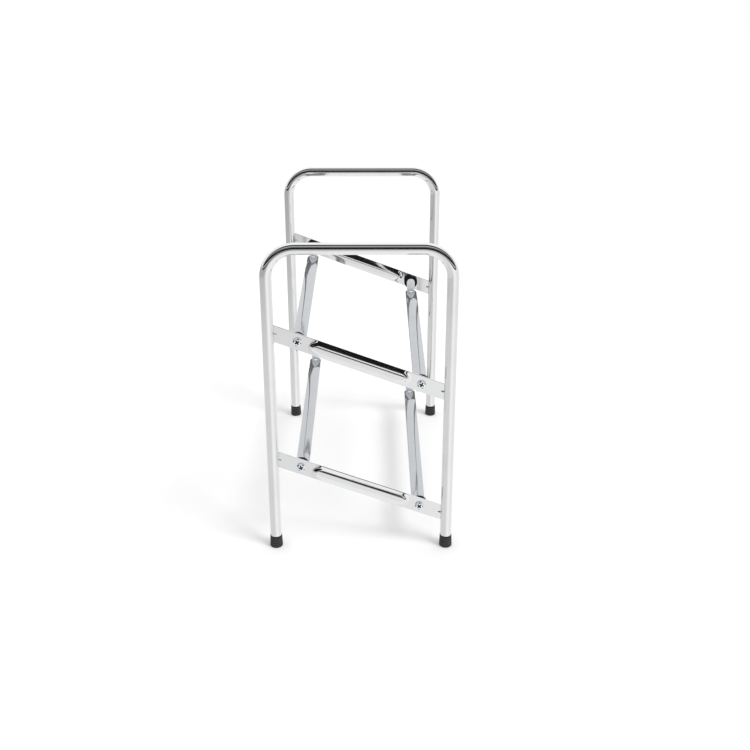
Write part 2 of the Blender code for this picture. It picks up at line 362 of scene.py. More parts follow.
@dataclass
class NodeBench:
    """A short way to wire shader nodes in a node tree."""

    tree: NodeTree

    def node(self, kind: str, **settings: object) -> Node:
        """Adds a node and sets its properties.

        Args:
            kind: Blender's name for the node's type.
            **settings: The node's properties.

        Returns:
            The node.
        """
        node = self.tree.nodes.new(kind)
        for key, value in settings.items():
            setattr(node, key, value)
        return node

    def put(self, socket: NodeSocket, value: Value) -> None:
        """Links value to a socket, or sets it there if it is a plain value.

        Args:
            socket: The input to fill.
            value: Another node's output, or a plain value.
        """
        if isinstance(value, NodeSocket):
            self.tree.links.new(value, socket)
        else:
            socket.default_value = value

    def wire(self, node: Node, **inputs: Value) -> None:
        """Fills a node's inputs by their names.

        Args:
            node: The node.
            **inputs: What goes into each.
        """
        for name, value in inputs.items():
            self.put(node.inputs[name], value)

    def math(self, operation: str, *values: Value) -> NodeSocket:
        """Does one sum.

        Args:
            operation: Blender's name for the sum.
            *values: What it works on.

        Returns:
            The result.
        """
        node = self.node("ShaderNodeMath", operation=operation)
        for socket, value in zip(node.inputs, values):
            self.put(socket, value)
        return node.outputs[0]

    def ramp(
        self, value: Value, low: float, high: float, first: Value, last: Value
    ) -> NodeSocket:
        """Eases from first to last as value goes from low to high.

        Args:
            value: What drives the ramp.
            low: The value at its start.
            high: The value at its end.
            first: The result up to low.
            last: The result from high on.

        Returns:
            The result.
        """
        node = self.node("ShaderNodeMapRange", interpolation_type="SMOOTHSTEP")
        for socket, item in zip(node.inputs, (value, low, high, first, last)):
            self.put(socket, item)
        return node.outputs[0]

    def noise(self, vector: Value, scale: float, detail: float, rough: float) -> NodeSocket:
        """Adds a noise pattern.

        Args:
            vector: Where the pattern is read.
            scale: Its fineness, in waves per metre.
            detail: How many finer layers it has.
            rough: How strong the finer layers are.

        Returns:
            The pattern's value, from 0 to 1.
        """
        node = self.node("ShaderNodeTexNoise")
        self.wire(node, Vector=vector, Scale=scale, Detail=detail, Roughness=rough)
        return node.outputs["Fac"]

    def stretched(self, scale: tuple[float, float, float]) -> NodeSocket:
        """Reads Object coordinates, stretched along the axes.

        Args:
            scale: The factor for each axis. A small one draws a pattern out along that axis.

        Returns:
            The coordinates.
        """
        where = self.node("ShaderNodeTexCoord")
        mapping = self.node("ShaderNodeMapping")
        self.wire(mapping, Scale=scale, Vector=where.outputs["Object"])
        return mapping.outputs["Vector"]

    def mix(self, share: Value, first: Value, second: Value) -> NodeSocket:
        """Mixes two colours.

        Args:
            share: How much of the second colour there is, from 0 to 1.
            first: One colour.
            second: The other colour.

        Returns:
            The mixed colour.
        """
        node = self.node("ShaderNodeMix", data_type="RGBA")
        self.wire(node, Factor=share, A=first, B=second)
        return node.outputs["Result"]

    def bump(self, height: Value, strength: float, distance: float) -> NodeSocket:
        """Tilts the surface by a height.

        Args:
            height: The height, from 0 to 1.
            strength: How much of the tilt is used.
            distance: The real size of a height of 1.

        Returns:
            The tilted normal.
        """
        node = self.node("ShaderNodeBump")
        self.wire(node, Strength=strength, Distance=distance, Height=height)
        return node.outputs["Normal"]


def new_finish(name: str) -> tuple[Material, NodeBench, Node]:
    """Starts a material.

    Args:
        name: The material's name.

    Returns:
        The material, its bench and its Principled BSDF.
    """
    material = bpy.data.materials.new(name)
    material.use_nodes = True
    shader = material.node_tree.nodes["Principled BSDF"]
    return material, NodeBench(material.node_tree), shader


@dataclass(frozen=True)
class PlatedFinish:
    """Bright plating: a clear reflection, with faint polishing marks, haze and handling.

    Attributes:
        name: The material's name.
        colour: Clean plating.
        tarnish: Plating that has dulled in cloudy patches.
        roughness: Of the clean plating.
        haze: How much rougher the patches and the polishing marks are.
        ripple: How strongly the surface waves.
        stretch: How the polishing marks run, as a scale for each axis.
        metal: How much of the surface is bare metal.
    """

    name: str
    colour: Colour
    tarnish: Colour
    roughness: float
    haze: float
    ripple: float
    stretch: tuple[float, float, float]
    metal: float = 1.0

    def material(self) -> Material:
        """Builds the material.

        Returns:
            The material.
        """
        material, bench, shader = new_finish(self.name)
        where = bench.stretched((1, 1, 1))
        clouds = bench.noise(where, 22, 3, 0.55)
        marks = bench.noise(bench.stretched(self.stretch), 260, 2, 0.6)
        shader.inputs["Metallic"].default_value = self.metal
        wear_and_highlight = bench.ramp(clouds, 0.45, 0.80, 0.0, 0.55)
        bench.put(shader.inputs["Base Color"], bench.mix(wear_and_highlight, self.colour, self.tarnish))
        haze = bench.ramp(clouds, 0.40, 0.75, self.roughness, self.roughness + self.haze)
        scuffs = bench.ramp(marks, 0.60, 0.80, 0.0, self.haze)
        bench.put(shader.inputs["Roughness"], bench.math("ADD", haze, scuffs))
        waves = bench.noise(where, 45, 1, 0.4)
        height = bench.math("ADD", waves, bench.math("MULTIPLY", marks, 0.05))
        bench.put(shader.inputs["Normal"], bench.bump(height, self.ripple, 0.0004))
        return material


@dataclass(frozen=True)
class MouldedFinish:
    """Black moulded rubber or nylon, with a fine grain and dusty scuffs; also the painted shade in the
    screws' recesses and the painted highlight on the feet's grooves.

    Attributes:
        name: The material's name.
        colour: Clean rubber or nylon.
        dust: Its scuffed patches.
        roughness: Its middle roughness.
        grain: Depth of its grain.
        grain_scale: Fineness of its grain.
        sheen: Strength of its gloss.
    """

    name: str
    colour: Colour
    dust: Colour
    roughness: float
    grain: float
    grain_scale: float
    sheen: float = 0.5

    def material(self) -> Material:
        """Builds the material.

        Returns:
            The material.
        """
        material, bench, shader = new_finish(self.name)
        where = bench.stretched((1, 1, 1))
        clouds = bench.noise(where, 90, 4, 0.6)
        grain = bench.noise(where, self.grain_scale, 3, 0.6)
        dusty = bench.ramp(clouds, 0.52, 0.78, 0.0, 0.7)
        bench.put(shader.inputs["Base Color"], bench.mix(dusty, self.colour, self.dust))
        rough = bench.ramp(grain, 0.3, 0.7, self.roughness - 0.06, self.roughness + 0.06)
        bench.put(shader.inputs["Roughness"], rough)
        bench.put(shader.inputs["Normal"], bench.bump(grain, self.grain, 0.0002))
        shader.inputs["Specular IOR Level"].default_value = self.sheen
        return material


class Finishes:
    """Every finish on the rack, each made once."""

    def __init__(self) -> None:
        """Makes the materials."""
        bright = (0.87, 0.873, 0.876, 1)
        cool = (0.55, 0.567, 0.59, 1)
        self.tube = PlatedFinish(
            "chromed_tube", bright, (0.81, 0.81, 0.80, 1), 0.035, 0.03, 0.03, (1, 1, 0.05)
        ).material()
        self.bar = PlatedFinish(
            "chromed_bar", bright, (0.82, 0.81, 0.80, 1), 0.05, 0.04, 0.05, (0.08, 1, 1)
        ).material()
        self.arm = PlatedFinish(
            "plated_arm", cool, (0.50, 0.515, 0.54, 1), 0.07, 0.05, 0.05, (1, 0.05, 1), 0.74
        ).material()
        self.lug = PlatedFinish(
            "plated_lug", (0.88, 0.89, 0.91, 1), (0.80, 0.81, 0.83, 1), 0.34, 0.08, 0.06, (1, 1, 0.2), 0.4
        ).material()
        self.zinc = PlatedFinish(
            "zinc_plate", (0.86, 0.92, 0.955, 1), (0.70, 0.78, 0.83, 1), 0.24, 0.10, 0.10, (1, 1, 1), 0.5
        ).material()
        # Painted shade: a dark finish for the right-hand weld nibs; the left-hand ones take the bars'
        # chrome.
        self.weld = PlatedFinish(
            "weld_painted_shade", (0.20, 0.19, 0.18, 1), (0.10, 0.09, 0.08, 1), 0.34, 0.15, 0.25, (1, 1, 1), 0.7
        ).material()
        self.nylon = MouldedFinish(
            "black_nylon", (0.006, 0.006, 0.0065, 1), (0.012, 0.012, 0.012, 1), 0.48, 0.15, 2600, 0.12
        ).material()
        # Painted shade: a near-black finish for the faces deep in the screws' cross recess.
        self.recess = MouldedFinish(
            "recess_painted_shade", (0.020, 0.024, 0.028, 1), (0.04, 0.045, 0.05, 1), 0.45, 0.10, 1500
        ).material()
        self.rubber = MouldedFinish(
            "black_rubber", (0.0075, 0.0075, 0.0078, 1), (0.017, 0.0165, 0.016, 1), 0.60, 0.35, 1900
        ).material()
        # Painted highlight: a lighter rubber for the upward faces of the feet's grooves.
        self.rib_highlight = MouldedFinish(
            "rubber_painted_highlight", (0.060, 0.060, 0.061, 1), (0.085, 0.084, 0.082, 1), 0.60, 0.35, 1900
        ).material()


# Frames


@dataclass
class TubeFrame:
    """A bent tube, open at its lower ends, with a round corner at each end of its rail."""

    frame: Frame
    finish: Material
    wall: float = 0.0013
    bend_radius: float = 0.047
    round_steps: int = 64
    bend_steps: int = 24

    def __post_init__(self) -> None:
        """Measures the CAD tube: its radius, and where its legs, plane, foot and rail lie."""
        self.node = f"{self.frame.value}_tube"
        low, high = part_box(self.node)
        self.radius = (high.y - low.y) / 2
        self.leg_x = high.x - self.radius
        self.plane_y = (low.y + high.y) / 2
        self.foot_z = low.z
        self.rail_z = high.z - self.radius

    def bend(self, side: int) -> None:
        """Spins the open ring through one corner.

        Args:
            side: -1 for the left corner and 1 for the right one.
        """
        centre = (side * (self.leg_x - self.bend_radius), self.plane_y, self.rail_z - self.bend_radius)
        bpy.ops.mesh.spin(steps=self.bend_steps, angle=math.pi / 2, center=centre, axis=(0, -1, 0))

    def build(self) -> None:
        """Models the tube from the left foot round to the right one."""
        deselect_all()
        bpy.ops.mesh.primitive_circle_add(
            vertices=self.round_steps,
            radius=self.radius,
            location=(-self.leg_x, self.plane_y, self.foot_z),
        )
        obj = settle(f"{self.node}_bright")
        straight = self.rail_z - self.bend_radius - self.foot_z
        rail = 2 * (self.leg_x - self.bend_radius)
        with editing(obj):
            extrude(0, 0, straight)
            self.bend(-1)
            extrude(rail, 0, 0)
            self.bend(1)
            extrude(0, 0, -straight)
        tidy_normals(obj)
        apply_modifier(obj, "SOLIDIFY", thickness=self.wall, offset=-1)
        shade(obj)
        seat(obj, self.frame.body, "frame_tube", self.node, self.finish)


@dataclass
class PushInFoot:
    """A rubber foot: a ribbed, tapered block with a rounded lower edge and a stem inside the tube."""

    frame: Frame
    side: Side
    edge: float = 0.0018
    rim_radius: float = 0.0101
    rim_edge: float = 0.0005
    clearance: float = 0.0001
    sole_ring: tuple[float, float, float, float] = (0.0060, 0.0062, 0.0076, 0.0078)
    sole_depth: float = 0.0006
    stem_radius: float = 0.0077
    stem_fillet: float = 0.0004
    stem_edge: float = 0.001
    core: float = 0.0008
    grooves: int = 5
    groove_margin: float = 0.0016
    groove_depth: float = 0.0009
    groove_steps: tuple[float, float, float] = (0.0011, 0.0014, 0.0017)
    highlight_slope: tuple[float, float] = (0.25, 0.95)
    steps: int = 64

    def ribs(self, base: float, low: float, high: float) -> Profile:
        """Shallow moulded grooves up the foot's tapered side.

        Args:
            base: Radius at the foot's base.
            low: Height of the lowest groove.
            high: Height of the side's upper end.

        Returns:
            The (radius, height) points.
        """
        points = []
        slope_end, floor_end, lip = self.groove_steps
        for groove in range(self.grooves):
            height = low + (high - low) * groove / self.grooves
            side = base - (base - self.rim_radius) * (height - low) / (high - low)
            sunk = side - self.groove_depth
            points += [(side, height), (sunk, height + slope_end)]
            points += [(sunk, height + floor_end), (side, height + lip)]
        return points

    def outline(self, base: float, top: float, tip: float) -> Profile:
        """The foot's outline from the middle of its sole to its stem's tip.

        Args:
            base: Radius at the foot's base.
            top: Height of the rim that meets the tube.
            tip: Height of the stem's upper end.

        Returns:
            The (radius, height) points.
        """
        ring = zip(self.sole_ring, (0.0, self.sole_depth, self.sole_depth, 0.0))
        points = [(self.core, 0.0), *ring]
        points += arc((base - self.edge, self.edge), self.edge, -90, 0, 8)
        points += self.ribs(base, self.edge + self.groove_margin, top - self.groove_margin)
        points += arc((self.rim_radius - self.rim_edge, top - self.rim_edge), self.rim_edge, 0, 90, 5)
        stem = self.stem_radius
        points += [(stem + self.stem_fillet, top), (stem, top + self.stem_fillet)]
        points += [(stem, tip - self.stem_edge), (stem - self.stem_edge, tip), (self.core, tip)]
        return points

    def build(self, rubber: Material, wear_and_highlight: Material, tube_end: float) -> None:
        """Turns the foot and stands it under its leg.

        Args:
            rubber: The foot's finish.
            wear_and_highlight: The lighter finish that paints a highlight on the grooves' upward faces.
            tube_end: Height of the tube's lower end.
        """
        node = f"{self.frame.value}_foot_{self.side.value}"
        low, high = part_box(node)
        top = tube_end - self.clearance
        obj = turn(f"{node}_rubber", self.outline((high.x - low.x) / 2, top, high.z), self.steps)
        middle = centre_of(node)
        place(obj, Matrix.Translation((middle.x, middle.y, 0)))
        # Upward faces of the grooves take the lighter rubber: a painted highlight.
        least, most = self.highlight_slope
        for face in obj.data.polygons:
            if least < face.normal.z < most and face.center.z < top - 2 * self.rim_edge:
                face.material_index = 1
        shade(obj, 40)
        seat(obj, self.frame.body, "foot", node, rubber, wear_and_highlight)


@dataclass
class SlantedBar:
    """A pressed strip between two legs, with a ridged bead on its front face.

    The bead runs out quickest along its middle, and more gently towards the strip's edges.
    """

    frame: Frame
    level: Level
    finish: Material
    width: float = 0.0272
    thickness: float = 0.002
    overlap: float = 0.0002
    bead_rise: float = 0.0032
    ridge_share: float = 0.35
    edge_share: float = 0.7
    bead_run_out: float = 0.007
    upper_run_out: float = 0.016
    lower_run_out: float = 0.026
    bead_margin: float = 0.0198
    steps: tuple[int, int] = (250, 28)

    def ridge(self, across: float) -> float:
        """Height of the bead's rounded ridge, from 0 at the strip's edges to 1 in the middle."""
        scale = math.log(math.cosh(1 / self.ridge_share))
        return 1 - math.log(math.cosh(across / self.ridge_share)) / scale

    def press(self, point: Vector, bead_half: float) -> Vector:
        """Raises a point of the flat strip into the bead.

        Args:
            point: A point of the flat strip.
            bead_half: Half the length of the full bead.

        Returns:
            The point's place in the pressed strip.
        """
        across = min(abs(point.y) / (self.width / 2), 1.0)
        longest = self.upper_run_out if point.y > 0 else self.lower_run_out
        share = smoothstep(across / self.edge_share)
        run_out = self.bead_run_out + (longest - self.bead_run_out) * share
        fade = smoothstep((bead_half + self.bead_run_out - abs(point.x)) / run_out)
        point.z += self.bead_rise * fade * self.ridge(across)
        return point

    def trim(self, obj: Object, end_x: float) -> None:
        """Cuts both ends upright, to meet the legs.

        Args:
            obj: The pressed strip, in its place.
            end_x: Distance from the rack's middle to each cut.
        """
        for side in (-1, 1):
            with editing(obj):
                place_of_cut = (side * end_x, 0, 0)
                bpy.ops.mesh.bisect(plane_co=place_of_cut, plane_no=(side, 0, 0), clear_outer=True)

    def build(self) -> None:
        """Presses the bar, trims it and sets it between its legs."""
        node = f"{self.frame.value}_bar_{self.level.value}"
        low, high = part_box(node)
        end_x = high.x + self.overlap
        screw_x = centre_of(f"{self.frame.value}_screw_{self.level.value}_right").x
        bead_half = screw_x / math.cos(SLANT) - self.bead_margin - self.bead_run_out
        length = 2 * end_x / math.cos(SLANT) + self.width
        obj = blank(f"{node}_pressed", length, self.width, self.steps)
        warp(obj, lambda point: self.press(point, bead_half))
        along = Vector((math.cos(SLANT), 0, -math.sin(SLANT)))
        up = Vector((math.sin(SLANT), 0, math.cos(SLANT)))
        turned = Matrix((along, up, along.cross(up))).transposed().to_4x4()
        tube = centre_of(f"{self.frame.value}_tube")
        place(obj, Matrix.Translation((0, tube.y, (low.z + high.z) / 2)) @ turned)
        self.trim(obj, end_x)
        thicken(obj, self.thickness, Edge())
        seat(obj, self.frame.body, "slanted_bar", node, self.finish)


@dataclass
class WeldNib:
    """A small weld where a bar's middle meets a leg, as a low oval dome."""

    frame: Frame
    level: Level
    side: Side
    finish: Material
    length: float = 0.0052
    height: float = 0.0027
    rise: float = 0.0012
    root: float = 0.8
    reach: float = 0.0004
    sink: float = 0.001
    swell: float = 0.04

    def build(self) -> None:
        """Models a low dome on the bar's front face, next to the leg."""
        low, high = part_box(f"{self.frame.value}_bar_{self.level.value}")
        x = high.x - self.length / 2 + self.reach
        x = x if self.side is Side.RIGHT else -x
        z = (low.z + high.z) / 2 - x * math.tan(SLANT)
        plane_y = centre_of(f"{self.frame.value}_tube").y
        outline = [(1.0, -self.root), (1.0, 0.0)]
        for angle in (15, 30, 45, 60, 74, 86):
            lift = self.swell if angle == 45 else 0
            outline.append((math.cos(math.radians(angle)), math.sin(math.radians(angle)) + lift))
        obj = turn(f"{self.frame.value}_weld_{self.level.value}_{self.side.value}", outline, 28)
        size = Matrix.Diagonal((self.length / 2, self.height / 2, self.rise, 1))
        turned = Matrix.Rotation(math.pi / 2, 4, "X") @ Matrix.Rotation(-SLANT, 4, "Z")
        place(obj, Matrix.Translation((x, plane_y - self.sink, z)) @ turned @ size)
        tidy_normals(obj)
        shade(obj, 50)
        seat(obj, self.frame.body, "slanted_bar", None, self.finish)


# Joint hardware


@dataclass
class JointHardware:
    """What holds one arm's end to its bar: a spacer, a lug, a screw and an upright rivet.

    The screw's recess is left turned by recess_turn degrees, as tightening left it.
    """

    frame: Frame
    level: Level
    side: Side
    recess_turn: float = 0.0
    spacer_bore: float = 0.0036
    spacer_rim: float = 0.0005
    groove_half: float = 0.0004
    groove_depth: float = 0.0003
    rivet_shank: float = 0.0025
    rivet_rise: float = 0.0012

    def node(self, piece: str) -> str:
        """The name of the CAD node of one of this joint's pieces."""
        return f"{self.frame.value}_{piece}_{self.level.value}_{self.side.value}"

    def facing_out(self, centre: Vector) -> Matrix:
        """The place at centre that turns +Z to the frame's outer side."""
        turned = Vector((0, 0, 1)).rotation_difference(Vector((0, self.frame.outward, 0)))
        return Matrix.Translation(centre) @ turned.to_matrix().to_4x4()

    def spacer(self, material: Material) -> None:
        """Models a black disc with rounded rims and a shallow groove round its middle.

        Args:
            material: The spacer's finish.
        """
        node = self.node("spacer")
        low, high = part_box(node)
        radius = (high.x - low.x) / 2
        half = (high.y - low.y) / 2
        rim = self.spacer_rim
        groove = self.groove_half
        profile = [(self.spacer_bore, -half)]
        profile += arc((radius - rim, -half + rim), rim, -90, 0, 6)
        profile += [(radius, -groove), (radius - self.groove_depth, 0.0), (radius, groove)]
        profile += arc((radius - rim, half - rim), rim, 0, 90, 6)
        profile += [(self.spacer_bore, half)]
        obj = turn(f"{node}_nylon", profile, 64)
        place(obj, self.facing_out(centre_of(node)))
        shade(obj)
        seat(obj, self.frame.body, "spacer", node, material)

    def rivet(self, material: Material) -> None:
        """Models an upright pin with low domed heads.

        Args:
            material: The rivet's finish.
        """
        node = self.node("rivet")
        low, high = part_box(node)
        middle = centre_of(node)
        shank = self.rivet_shank
        head = (high.x - low.x) / 2
        rise = self.rivet_rise
        top = high.z - middle.z
        dome = [
            (head * math.cos(math.radians(angle)), rise * math.sin(math.radians(angle)))
            for angle in (88, 75, 60, 45, 30, 15, 0)
        ]
        profile = [(radius, -top + rise - height) for radius, height in dome]
        profile += [(shank, -top + rise), (shank, top - rise)]
        profile += [(radius, top - rise + height) for radius, height in reversed(dome)]
        obj = turn(f"{node}_pin", profile)
        place(obj, Matrix.Translation(middle))
        shade(obj)
        seat(obj, self.frame.body, "rivet", node, material)


@dataclass
class PanScrew:
    """A pan-head screw with a cross recess, modelled once and copied to every joint."""

    head_radius: float = 0.0072
    head_height: float = 0.0038
    head_side: float = 0.0012
    head_edge: float = 0.0003
    crown_power: float = 0.75
    shank_radius: float = 0.003
    shank_edge: float = 0.0006
    core: float = 0.0008
    recess_length: float = 0.0108
    recess_width: float = 0.0034
    recess_depth: float = 0.0030
    recess_taper: float = 0.55
    recess_heights: tuple[float, float] = (0.9, 0.2)
    recess_reach: float = 0.46
    least_edge: float = 0.00003

    def head_outline(self, length: float) -> Profile:
        """The screw's outline from the shank's tip to its crown, at height 0.

        Args:
            length: The screw's whole length.

        Returns:
            The (radius, height) points.
        """
        under = -self.head_height
        shank = self.shank_radius
        head = self.head_radius
        crown = self.head_height - self.head_side
        outline = [(self.core, -length), (shank - self.shank_edge, -length)]
        outline += [(shank, -length + self.shank_edge), (shank, under), (head - self.head_edge, under)]
        outline += [(head, under + self.head_edge), (head, under + self.head_side)]
        for angle in (20, 35, 50, 65, 78, 87):
            turned = math.radians(angle)
            radius = head * math.cos(turned) ** self.crown_power
            outline.append((radius, under + self.head_side + crown * math.sin(turned)))
        return outline

    def cut_recess(self, obj: Object) -> None:
        """Cuts two tapered slots across the head, and marks their deeper faces for a near-black finish,
        which paints the shade in the recess.

        Args:
            obj: The turned screw.
        """
        for quarter in (0, 1):
            deselect_all()
            bpy.ops.mesh.primitive_cube_add(size=1, location=(0, 0, 0))
            cutter = bpy.context.active_object
            cutter.scale = (self.recess_length, self.recess_width, 2 * self.recess_depth)
            cutter.rotation_euler = (0, 0, quarter * math.pi / 2)
            cutter = settle()
            warp(cutter, self.taper)
            apply_modifier(obj, "BOOLEAN", operation="DIFFERENCE", solver="EXACT", object=cutter)
            bpy.data.objects.remove(cutter)
        with editing(obj):
            bpy.ops.mesh.remove_doubles(threshold=self.least_edge)
            bpy.ops.mesh.dissolve_degenerate(threshold=self.least_edge)
        # Faces deep inside the cross take the near-black finish: painted shade.
        deepest, shallowest = self.recess_heights
        for face in obj.data.polygons:
            middle = face.center
            reach = max(abs(middle.x), abs(middle.y)) / self.recess_length
            sunk = shallowest < -middle.z / self.head_height < deepest
            face.material_index = 1 if sunk and reach < self.recess_reach else 0

    def taper(self, point: Vector) -> Vector:
        """Narrows the recess towards its floor."""
        share = 1.0 if point.z > 0 else self.recess_taper
        return Vector((point.x * share, point.y * share, point.z))

    def model(self, length: float) -> Object:
        """Models the screw along Z with its crown at the origin.

        Args:
            length: The screw's whole length.

        Returns:
            The screw.
        """
        obj = turn("pan_screw", self.head_outline(length), 40)
        self.cut_recess(obj)
        shade(obj, 30)
        return obj


@dataclass
class AngleLug:
    """A bent plate: round-topped behind the spacer, with a round-ended ear under the arm."""

    width: float = 0.016
    thickness: float = 0.0025
    bend_radius: float = 0.00275
    ear_drop: float = 0.0175
    edge: Edge = Edge(0.0005, 3, 60.0)
    steps: tuple[int, int] = (90, 10)

    def fold(self, point: Vector, hinge_inset: float, flat: float) -> Vector:
        """Rounds and folds a point of the flat strip.

        Args:
            point: A point of the strip, with X from the plate's screw towards the ear's end.
            hinge_inset: Distance from the plate's middle to the rivet's axis.
            flat: Length of the plate from the screw's axis to the start of the bend.

        Returns:
            The folded point: X across, Y towards the arm, Z up from the screw.
        """
        radius = self.width / 2
        bend = self.bend_radius * math.pi / 2
        ear = hinge_inset - self.bend_radius
        along = point.x
        past = max(-along, along - flat - bend - ear, 0.0)
        across = point.y * math.sqrt(max(1 - (past / radius) ** 2, LEAST_END))
        drop = self.ear_drop + self.thickness / 2
        if along <= flat:
            return Vector((across, 0, -along))
        if along >= flat + bend:
            return Vector((across, self.bend_radius + along - flat - bend, -drop))
        angle = (along - flat) / self.bend_radius
        inward = self.bend_radius * (1 - math.cos(angle))
        return Vector((across, inward, -flat - self.bend_radius * math.sin(angle)))

    def model(self, hinge_inset: float) -> Object:
        """Models the lug with its plate's screw centre at the origin and its ear towards +Y.

        Args:
            hinge_inset: Distance from the plate's middle to the rivet's axis.

        Returns:
            The lug.
        """
        flat = self.ear_drop + self.thickness / 2 - self.bend_radius
        bend = self.bend_radius * math.pi / 2
        length = self.width + flat + bend + hinge_inset - self.bend_radius
        obj = blank("angle_lug", length, self.width, self.steps)
        start = length / 2 - self.width / 2
        warp(obj, lambda point: self.fold(point + Vector((start, 0, 0)), hinge_inset, flat))
        tidy_normals(obj)
        thicken(obj, self.thickness, self.edge, even=True)
        return obj


@dataclass
class PressedArm:
    """A pressed strip between the frames, with flat round ends and a crowned bead between."""

    level: Level
    side: Side
    finish: Material
    width: float = 0.022
    thickness: float = 0.002
    bead_rise: float = 0.003
    bead_margin: float = 0.010
    bead_run_out: float = 0.034
    steps: tuple[int, int] = (380, 22)

    def press(self, point: Vector, reach: float) -> Vector:
        """Rounds the strip's ends and raises its bead.

        Args:
            point: A point of the flat strip.
            reach: Distance from the arm's middle to each rivet's axis.

        Returns:
            The point's place in the pressed arm.
        """
        radius = self.width / 2
        past = max(abs(point.x) - reach, 0.0)
        across = point.y / radius
        fade = smoothstep((reach - self.bead_margin - abs(point.x)) / self.bead_run_out)
        point.z += self.bead_rise * fade * (1 - across * across)
        point.y *= math.sqrt(max(1 - (past / radius) ** 2, LEAST_END))
        return point

    def build(self) -> None:
        """Presses the arm and lays it on its lugs."""
        node = f"arm_{self.level.value}_{self.side.value}"
        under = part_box(node)[0].z
        rear = centre_of(f"rear_rivet_{self.level.value}_{self.side.value}")
        reach = rear.y
        obj = blank(f"{node}_pressed", 2 * (reach + self.width / 2), self.width, self.steps)
        warp(obj, lambda point: self.press(point, reach))
        middle = Vector((rear.x, 0, under + self.thickness / 2))
        place(obj, Matrix.Translation(middle) @ Matrix.Rotation(math.pi / 2, 4, "Z"))
        thicken(obj, self.thickness, Edge())
        seat(obj, node, "arm", node, self.finish)


class JointSet:
    """All eight joints, with the screw and the lug modelled once and copied."""

    def __init__(self, finishes: Finishes) -> None:
        """Measures the CAD joints and models the two patterns.

        Args:
            finishes: The rack's finishes.
        """
        self.finishes = finishes
        first = JointHardware(Frame.FRONT, Level.UPPER, Side.LEFT)
        low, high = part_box(first.node("screw"))
        self.screw = PanScrew().model(high.y - low.y)
        lug_face = abs(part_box(first.node("lug"))[0].y)
        rivet = centre_of(first.node("rivet"))
        self.lug_middle = lug_face - AngleLug.thickness / 2
        self.lug = AngleLug().model(self.lug_middle - abs(rivet.y))

    def place_screw(self, joint: JointHardware) -> None:
        """Copies the screw into a joint.

        Args:
            joint: The joint.
        """
        node = joint.node("screw")
        low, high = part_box(node)
        crown = low.y if joint.frame is Frame.FRONT else high.y
        middle = centre_of(node)
        obj = copy_of(self.screw, f"{node}_zinc")
        spin = Matrix.Rotation(math.radians(joint.recess_turn), 4, "Z")
        place(obj, joint.facing_out(Vector((middle.x, crown, middle.z))) @ spin)
        # The recess faces take the near-black finish that paints their shade.
        seat(obj, joint.frame.body, "screw", node, self.finishes.zinc, self.finishes.recess)

    def place_lug(self, joint: JointHardware) -> None:
        """Copies the lug into a joint, with its ear towards the other frame.

        Args:
            joint: The joint.
        """
        node = joint.node("lug")
        screw = centre_of(joint.node("screw"))
        obj = copy_of(self.lug, f"{node}_plate")
        turned = Matrix.Rotation(0 if joint.frame is Frame.FRONT else math.pi, 4, "Z")
        y = joint.frame.outward * self.lug_middle
        place(obj, Matrix.Translation((screw.x, y, screw.z)) @ turned)
        seat(obj, joint.frame.body, "lug", node, self.finishes.lug)

    def build(self) -> None:
        """Fits all the hardware, then removes the two patterns."""
        recess_turns = {
            (Level.UPPER, Side.LEFT): 28.0,
            (Level.UPPER, Side.RIGHT): 62.0,
            (Level.LOWER, Side.LEFT): 12.0,
            (Level.LOWER, Side.RIGHT): 40.0,
        }
        for frame in Frame:
            for (level, side), turned in recess_turns.items():
                joint = JointHardware(frame, level, side, turned)
                joint.spacer(self.finishes.nylon)
                joint.rivet(self.finishes.zinc)
                self.place_screw(joint)
                self.place_lug(joint)
        bpy.data.objects.remove(self.screw)
        bpy.data.objects.remove(self.lug)


# Studio


